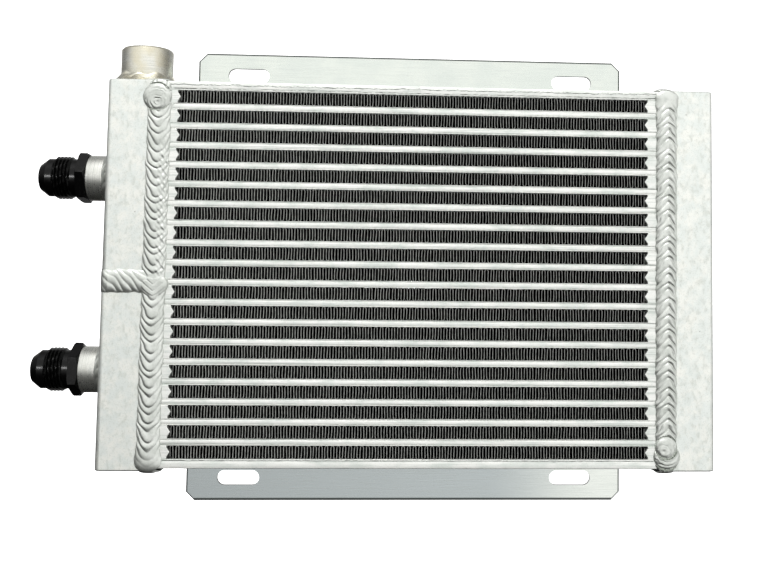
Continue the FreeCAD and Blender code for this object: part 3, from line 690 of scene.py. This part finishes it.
def welds():
    """Every weld. Craters and the junction lie so far down from a tank bead's top end."""
    crown = 2.05 * MM
    left_blobs = (Crater(11.2 * MM, -1.4 * MM, 8.8 * MM, 2.15 * MM, eye=(3.4 * MM, 0.2 * MM)),
                  Chevron(127.2 * MM, 8.3 * MM, 2.15 * MM))
    left_front = dict(pitch=5.3 * MM, depth=9.0 * MM, power=1.75, rough=0.4 * MM, foot=1.0)
    tank_weld("weld_left_tank", "left_tank_weld", LEFT_JOINT + 0.2 * MM, 14.2 * MM, crown, 11,
              True, left_blobs, left_front)
    right_blobs = (Crater(229.0 * MM, 0.6 * MM, 8.3 * MM, 2.1 * MM, dip=0.0,
                          eye=(-4 * MM, 0.0), ring=2.3 * MM),
                   Crater(223.4 * MM, 0.2 * MM, 7.0 * MM, 2.15 * MM, dip=0.25 * MM,
                          eye=(2.2 * MM, -1.8 * MM), ring=3.7 * MM, tall=1.06))
    right_front = dict(pitch=5.0 * MM, depth=-8.5 * MM, apex=0.14, power=1.3,
                       ripple=0.85 * MM, head=1.0, lean=(1.1 * MM, 0.2 * MM), sense=-1)
    tank_weld("weld_right_tank", "right_tank_weld", RIGHT_JOINT, 13.3 * MM, crown, 12,
              False, right_blobs, right_front)
    middle_weld(crown)
    side_fillet("upper", 212)
    side_fillet("lower", 203)
    top_fillet()
    bracket_stitches()


def middle_weld(crown):
    """Bead across the left tank at its baffle: front, outer face and back."""
    low, high = node_box("left_tank_middle_weld")
    level = (low[2] + high[2]) / 2 - 0.8 * MM
    common = dict(width=14.0 * MM, pitch=5.0 * MM, depth=1.5 * MM, slant=6.5 * MM,
                  power=1.8, rounded=(False, False))
    reach = LEFT_JOINT - TANK_FACE - 3 * MM
    parts = [corner_bead(y, out, reach, level, crown, seed, common)
             for y, out, seed in ((FRONT, -1, 81), (BACK, 1, 83))]
    start = (TANK_FACE, FRONT + 2 * MM, level)
    parts.append(bead(start, (0, 1, 0), (0, 0, 1), (-1, 0, 0), BACK - FRONT - 4 * MM,
                      crown=0.35 * MM, ripple=0.15 * MM, tallest=0.3 * MM, seed=82, **common))
    make("weld_tank_middle", parts, WELD, ["left_tank_middle_weld"], sharp=60)


def corner_bead(y, out, reach, level, crown, seed, common):
    """Run on the left tank's front or back that follows the rounded corner at its start."""
    bend = 3.0 * MM
    turn = bend * math.pi / 2
    points, faces = bead((0, 0, level), (1, 0, 0), (0, 0, 1), (0, -1, 0), turn + reach - bend,
                         crown=crown, ripple=0.36 * MM, seed=seed, **common)
    along, rise = points[:, 0], -points[:, 1]
    angle = np.clip(along / bend, 0, math.pi / 2)
    rise = rise * (0.1 + 0.9 * np.clip(along / (turn + 1.5 * MM), 0, 1))
    radius = bend + rise
    x = TANK_FACE + bend + np.where(along < turn, -radius * np.cos(angle), along - turn)
    depth = np.where(along < turn, bend - radius * np.sin(angle), -rise)
    return np.stack([x, y - out * depth, points[:, 2]], axis=1), faces


def fillet_ring(radius, leg, count, seed, uneven=0.12):
    """Fillet weld of count ripples round a bung that stands along +Z on the plane Z = 0."""
    turns = np.linspace(0, 2 * math.pi, 361)[:-1]
    s = np.linspace(0, 1, 22)
    wobble = 1 + uneven * waves(turns / (2 * math.pi), (0.5, 0.2, 0.111), seed)
    reach = (leg * wobble)[:, None]
    angle = s[None, :] * math.pi / 2
    phase = turns[:, None] * count / (2 * math.pi) + 0.9 * np.sin(math.pi * s)[None, :]
    crease = 0.32 * MM * (ripple_shape(phase) - 0.5) * np.sin(math.pi * s)[None, :]
    swell = 0.12 * reach * np.sin(math.pi * s)[None, :]
    out = reach * (1 - np.sin(angle)) + swell + crease
    rise = reach * (1 - np.cos(angle)) + swell + crease
    out = np.where(s[None, :] > 0.98, -SUNK, out)
    points = np.stack([(radius + out) * np.cos(turns)[:, None],
                       (radius + out) * np.sin(turns)[:, None],
                       rise - np.where(s[None, :] < 0.02, SUNK, 0)], axis=-1)
    rings = points.transpose(1, 0, 2)
    return rings.reshape(-1, 3), list(grid_faces(len(s), len(turns), closed=True))


def turned_to_left(points, x, z):
    """Points built along +Z from 0, laid along -X from x at the height z."""
    return np.stack([x - points[:, 2], MIDDLE_Y + points[:, 0], z + points[:, 1]], axis=1)


def port_axis(which):
    """Height of a side port's axis."""
    low, high = node_box(which + "_port_bung")
    return (low[2] + high[2]) / 2


def side_fillet(which, seed):
    """Fillet weld round a side port's bung."""
    low, high = node_box(which + "_port_bung")
    points, faces = fillet_ring((high[2] - low[2]) / 2, 5.2 * MM, 17, seed, 0.05)
    points = turned_to_left(points, TANK_FACE, port_axis(which))
    make("weld_%s_port" % which, [(points, faces)], WELD, [which + "_port_weld"],
         sharp=60)


def top_fillet():
    """Uneven fillet weld round the top port's bung, cut off at the tank's outer face."""
    low, high = node_box("top_port_bung")
    centre = (low + high) / 2
    points, faces = fillet_ring((high[0] - low[0]) / 2, 6.5 * MM, 13, 97, 0.3)
    points = points + np.array([centre[0], centre[1], TANK_HIGH[2]])
    points[:, 0] = np.maximum(points[:, 0], TANK_FACE + 0.1 * MM)
    make("weld_top_port", [(points, faces)], TOP_BUNG, ["top_port_weld"], sharp=60)


def bracket_stitches():
    """Short fillets along the front edges of the brackets' feet."""
    length, inset, half_root = 24 * MM, 1.1 * MM, 0.7071
    for node, name in (("bracket_top_welds", "weld_top_bracket"),
                       ("bracket_bottom_welds", "weld_bottom_bracket")):
        low, high = node_box(node)
        up = 1 if low[2] > 0 else -1
        foot = low[2] if up > 0 else high[2]
        slope, across = (0.0, -half_root, half_root * up), (0.0, -half_root, -half_root * up)
        parts = []
        for number in range(3):
            x = low[0] + (high[0] - low[0] - length) * number / 2
            start = (x, high[1] - inset, foot + up * inset)
            parts.append(bead(start, (1, 0, 0), across, slope, length, 3.9 * MM, 0.5 * MM,
                              2.4 * MM, 1.5 * MM, ripple=0.12 * MM, seed=110 + number))
        make(name, parts, WELD, [node], sharp=60)


# ---------------------------------------------------------------- ports and adapters

def lathe(distances, radius_at, turns):
    """Surface round +Z: radius_at(distance, turn) at each distance along the axis."""
    d, t = np.meshgrid(np.asarray(distances), turns, indexing="ij")
    r = radius_at(d, t)
    points = np.stack([r * np.cos(t), r * np.sin(t), d], axis=-1)
    return points.reshape(-1, 3), list(grid_faces(len(distances), len(turns), closed=True))


def turned_profile(profile, turns):
    """Surface round +Z from a list of (distance, radius)."""
    rings = [np.stack([radius * np.cos(turns), radius * np.sin(turns),
                       np.full(len(turns), distance)], axis=1) for distance, radius in profile]
    return np.concatenate(rings), list(grid_faces(len(profile), len(turns), closed=True))


def thread_tooth(distance, turn, pitch):
    """Height of a one-start thread, from 0 at its root to 1 at its crest."""
    phase = distance / pitch - turn / (2 * math.pi)
    return np.abs((phase - np.floor(phase)) - 0.5) * 2


def flattened(height):
    """Cut off the tips of a 0 to 1 height at both ends."""
    return np.clip(1.2 * height - 0.1, 0, 1)


def hexagon_radius(turn, flats, zero):
    """Radius of a hexagon, flats across, with a corner at the angle zero."""
    inside = np.mod(turn - zero, math.pi / 3) - math.pi / 6
    return flats / 2 / np.cos(inside)


def adapter(which, hex_turn):
    """Hose adapter, built from its nose (distance 0) towards the tank."""
    cone_end, seat_end, thread_end, neck_end, hex_end, stub_end = (
        5.2 * MM, 9.0 * MM, 20.3 * MM, 24.3 * MM, 30.5 * MM, 44.0 * MM)
    nose, seat, neck, crest, thread_depth = 8.0 * MM, 11.9 * MM, 12.0 * MM, 13.5 * MM, 1.5 * MM
    stub, bore, bore_edge, lip = 10.9 * MM, 6.25 * MM, 6.7 * MM, 7.5 * MM
    flats, thread_chamfer, stub_chamfer = 28.575 * MM, 15.5 * MM, 14.3 * MM
    pitch, fine, eps = 2.117 * MM, 0.16 * MM, 0.02 * MM
    zero = math.radians(30 - hex_turn)
    turns = zero + np.linspace(0, 2 * math.pi, 181)[:-1]

    def outer(d, t):
        cone = np.minimum(nose + d / cone_end * (seat - nose), lip + d * 2.2)
        r = np.where(d <= cone_end, cone, seat)
        thread = crest - thread_depth * flattened(1 - thread_tooth(d, t, pitch))
        thread = np.minimum(thread, seat + (d - seat_end) * 0.9)
        thread = np.minimum(thread, neck + (thread_end - d) * 0.9)
        thread = np.maximum(thread, seat - 0.1 * MM)
        r = np.where((d > seat_end) & (d <= thread_end), thread, r)
        r = np.where((d > thread_end) & (d <= neck_end), neck, r)
        hexagon = hexagon_radius(t, flats, zero)
        hexagon = np.minimum(hexagon, thread_chamfer + (d - neck_end) * 1.75)
        hexagon = np.minimum(hexagon, stub_chamfer + (hex_end - d) * 1.75)
        return np.where(d > neck_end, hexagon, r)

    distances = np.concatenate([
        np.linspace(0, 0.4 * MM, 4), np.linspace(0.8 * MM, cone_end, 6),
        np.linspace(cone_end + 0.3 * MM, seat_end, 4),
        np.arange(seat_end + eps, thread_end, fine),
        [thread_end, thread_end + 0.3 * MM, neck_end - 0.3 * MM, neck_end, neck_end + eps],
        np.linspace(neck_end + 0.15 * MM, neck_end + 0.7 * MM, 5),
        np.linspace(hex_end - 1.4 * MM, hex_end, 6)])
    surfaces = [
        lathe(distances, outer, turns),
        turned_profile([(0, bore_edge), (0.35 * MM, bore + 0.1 * MM), (0.7 * MM, bore),
                        (10 * MM, bore), (stub_end, bore)], turns),
        turned_profile([(0, bore_edge), (0, lip)], turns),
        turned_profile([(hex_end, stub_chamfer), (hex_end + eps, stub), (stub_end, stub)],
                       turns),
        turned_profile([(stub_end, stub), (stub_end, bore)], turns)]
    nose_x, axis_z = node_box(which + "_adapter")[0][0], port_axis(which)
    parts = []
    for points, faces in surfaces:
        laid = np.stack([nose_x + points[:, 2], MIDDLE_Y - points[:, 1], axis_z + points[:, 0]],
                        axis=1)
        parts.append((laid, faces))
    make("hose_adapter_" + which, parts, BLACK, [which + "_adapter"], sharp=32)


def side_bung(which):
    """Turned bung with a chamfered face, a seal seat and a plain bore."""
    low, high = node_box(which + "_port_bung")
    length = high[0] - low[0]
    turns = np.linspace(0, 2 * math.pi, 145)[:-1]
    r, rim, seat, bore = 14.3 * MM, 0.45 * MM, 13.2 * MM, 11.0 * MM
    seat_floor = length - 2.1 * MM
    profile = [(-0.1 * MM, r), (length - rim, r), (length - rim * 0.3, r - rim * 0.3),
               (length, r - rim), (length, seat + 0.2 * MM), (length - 0.2 * MM, seat),
               (seat_floor, seat), (seat_floor, bore + 0.3 * MM),
               (seat_floor - 0.4 * MM, bore), (0.0, bore)]
    points, faces = turned_profile(profile, turns)
    points = turned_to_left(points, TANK_FACE, port_axis(which))
    make("side_port_bung_" + which, [(points, faces)], SIDE_BUNG, [which + "_port_bung"],
         sharp=30)


def top_bung():
    """Turned bung on the left tank with a chamfered rim and a threaded bore."""
    low, high = node_box("top_port_bung")
    length = high[2] - low[2]
    turns = np.linspace(0, 2 * math.pi, 181)[:-1]
    r, chamfer, pitch, mouth = 15.9 * MM, 1.2 * MM, 1.5 * MM, 1.2 * MM
    root, thread_depth = 11.0 * MM, 0.85 * MM
    outside = [(-0.1 * MM, r), (length - chamfer - 0.15 * MM, r),
               (length - chamfer, r - 0.08 * MM), (length - 0.15 * MM, r - chamfer + 0.1 * MM),
               (length, r - chamfer - 0.1 * MM), (length, root + 1.2 * MM),
               (length - 0.2 * MM, root + 0.9 * MM)]

    def bore(d, t):
        thread = root - thread_depth * flattened(thread_tooth(d, t, pitch))
        widened = root - 0.1 * MM + (d - (length - mouth)).clip(0)
        return np.where(d > length - mouth, np.maximum(thread, widened), thread)

    surfaces = (turned_profile(outside, turns),
                lathe(np.arange(0, length - 0.1 * MM, 0.13 * MM), bore, turns))
    foot = np.array([(low[0] + high[0]) / 2, (low[1] + high[1]) / 2, low[2]])
    parts = [(points + foot, faces) for points, faces in surfaces]
    make("top_port_bung_turned", parts, TOP_BUNG, ["top_port_bung"], sharp=30)


# ---------------------------------------------------------------- CAD nodes that are shown

def paint(node, material):
    """Give a CAD node its material."""
    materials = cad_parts[node].data.materials
    materials.clear()
    materials.append(material)


def round_edges(node, width):
    """Round a CAD node's edges. Its faces are joined first: they come with split corners."""
    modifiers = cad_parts[node].modifiers
    modifiers.new("joined", "WELD").merge_threshold = 0.001 * MM
    edges = modifiers.new("edges", "BEVEL")
    edges.width = width
    edges.segments = 3
    edges.limit_method = "ANGLE"
    edges.angle_limit = math.radians(30)
    edges.harden_normals = True


def shown_nodes():
    """Materials and edges of the CAD nodes that have no piece of their own here."""
    rounded = (("left_tank_upper", TANK, 1.1), ("left_tank_lower", TANK, 1.1),
               ("right_tank", TANK, 1.1), ("left_tank_top_cap", TANK, 0.3),
               ("left_tank_bottom_cap", TANK, 0.3), ("right_tank_top_cap", TANK, 0.3),
               ("right_tank_bottom_cap", TANK, 0.3), ("left_tank_baffle", TANK, 0.3),
               ("end_bars_left", BAR, 0.4), ("end_bars_right", BAR, 0.4))
    for node, material, width_mm in rounded:
        paint(node, material)
        round_edges(node, width_mm * MM)
    for node, material in (("bracket_top", BRACKET), ("bracket_bottom", BRACKET),
                           ("oil_turbulators", FIN), ("upper_seal_ring", RUBBER),
                           ("lower_seal_ring", RUBBER)):
        paint(node, material)


# ---------------------------------------------------------------- floor, light, camera

def sweep():
    """White round room that only the camera sees."""
    turns = np.linspace(0, 2 * math.pi, 65)[:-1]
    profile = ((-0.9, 0.0), (-0.9, 2.2), (-0.72, 2.8), (-0.3, 3.1), (0.3, 3.2), (5.0, 3.2),
               (5.2, 0.0))
    points, faces = turned_profile(profile, turns)
    mesh = bpy.data.meshes.new("sweep")
    mesh.from_pydata(points.tolist(), [], [face.tolist() for face in faces])
    white = bpy.data.materials.new("sweep_white")
    white.use_nodes = True
    shader = white.node_tree.nodes["Principled BSDF"]
    shader.inputs["Base Color"].default_value = (0.9, 0.9, 0.9, 1)
    shader.inputs["Emission Color"].default_value = (1, 1, 1, 1)
    shader.inputs["Emission Strength"].default_value = 1.0
    mesh.materials.append(white)
    sweep_obj = bpy.data.objects.new("sweep", mesh)
    bpy.context.scene.collection.objects.link(sweep_obj)
    sweep_obj.visible_glossy = False
    sweep_obj.visible_diffuse = False
    sweep_obj.visible_shadow = False


def surroundings():
    """World light that the metal mirrors: bright front and top, dark underside and back."""
    world = bpy.data.worlds.new("studio")
    bpy.context.scene.world = world
    world.use_nodes = True
    nodes, links = world.node_tree.nodes, world.node_tree.links

    def node(kind, inputs, **settings):
        item = nodes.new(kind)
        for key, value in settings.items():
            setattr(item, key, value)
        for key, value in inputs.items():
            if isinstance(value, bpy.types.NodeSocket):
                links.new(value, item.inputs[key])
            else:
                item.inputs[key].default_value = value
        return item.outputs[0]

    def grey_ramp(value, stops):
        colors = nodes.new("ShaderNodeValToRGB")
        links.new(value, colors.inputs[0])
        elements = colors.color_ramp.elements
        for position, grey in stops[1:-1]:
            elements.new(position).color = (grey, grey, grey * 0.99, 1)
        for element, (position, grey) in ((elements[0], stops[0]), (elements[-1], stops[-1])):
            element.position = position
            element.color = (grey, grey, grey * 0.99, 1)
        return colors.outputs[0]

    place = nodes.new("ShaderNodeTexCoord").outputs["Generated"]
    x, y, z = nodes.new("ShaderNodeSeparateXYZ").outputs
    links.new(place, x.node.inputs[0])
    height = node("ShaderNodeMath", {0: x, 1: 0.5, 2: z}, operation="MULTIPLY_ADD")
    height = node("ShaderNodeMapRange", {0: height, 1: -1.0, 2: 1.0})
    sky = grey_ramp(height, ((0.0, 0.02), (0.15, 0.04), (0.26, 0.22), (0.34, 0.6), (0.42, 0.9),
                             (0.5, 0.98), (1.0, 1.0)))
    front_to_back = node("ShaderNodeMapRange", {0: y, 1: -1.0, 2: 1.0})
    behind = grey_ramp(front_to_back, ((0.35, 1.0), (0.6, 0.32), (0.7, 0.2), (0.85, 0.26),
                                       (1.0, 0.6)))
    aside = node("ShaderNodeMath", {0: x}, operation="ABSOLUTE")
    sides = node("ShaderNodeMapRange", {0: aside, 1: 0.6, 2: 1.0, 3: 1.0, 4: 0.6},
                 interpolation_type="SMOOTHSTEP")
    shade = node("ShaderNodeMath", {0: behind, 1: sides}, operation="MULTIPLY")
    light = node("ShaderNodeVectorMath", {0: sky, 3: shade}, operation="SCALE")
    links.new(light, nodes["Background"].inputs[0])
    nodes["Background"].inputs[1].default_value = 1.2


def lamps():
    """Soft light from above the camera, and a strip that only the black adapters mirror."""
    lamp("key", (-0.3, -0.9, 1.6), 0.6, 0.4, 5)
    lamp("top", (0.0, -0.3, 1.3), 1.0, 0.6, 1.2)
    spark = lamp("spark", (-0.52, -1.0, 0.13), 0.3, 0.13, 2.6)
    black_pieces = bpy.data.collections.new("black_pieces")
    for which in ("upper", "lower"):
        black_pieces.objects.link(bpy.data.objects["hose_adapter_" + which])
    spark.light_linking.receiver_collection = black_pieces


def lamp(name, place, width, height, power):
    """Area lamp of some watts, aimed at the middle of the cooler."""
    data = bpy.data.lights.new(name, "AREA")
    data.shape = "RECTANGLE"
    data.size, data.size_y, data.energy = width, height, power
    obj = bpy.data.objects.new(name, data)
    obj.location = place
    obj.rotation_mode = "QUATERNION"
    middle = Vector((0, -0.03, 0))
    obj.rotation_quaternion = (middle - Vector(place)).to_track_quat("-Z", "Y")
    bpy.context.scene.collection.objects.link(obj)
    return obj


def camera():
    """Nearly straight on, turned a little; right, up and back are the camera's own axes."""
    data = bpy.data.cameras.new("camera")
    data.lens, data.sensor_width = 50.0, 36.0
    data.shift_x, data.shift_y = -0.1223, -0.1039
    obj = bpy.data.objects.new("camera", data)
    right = (0.998021, -0.061878, 0.011209)
    up = (-0.015850, -0.075022, 0.997056)
    back = (-0.060854, -0.995260, -0.075865)
    turn = Matrix((right, up, back)).transposed().to_4x4()
    turn.translation = (0.0022, -0.71276, -0.00842)
    obj.matrix_world = turn
    data.clip_start = 0.05
    bpy.context.scene.collection.objects.link(obj)
    bpy.context.scene.camera = obj


core()
braze_lines()
welds()
for port, turn in (("upper", 8.5), ("lower", 30.0)):
    side_bung(port)
    adapter(port, turn)
top_bung()
shown_nodes()
sweep()
surroundings()
lamps()
camera()
bpy.context.scene.view_settings.view_transform = "Standard"
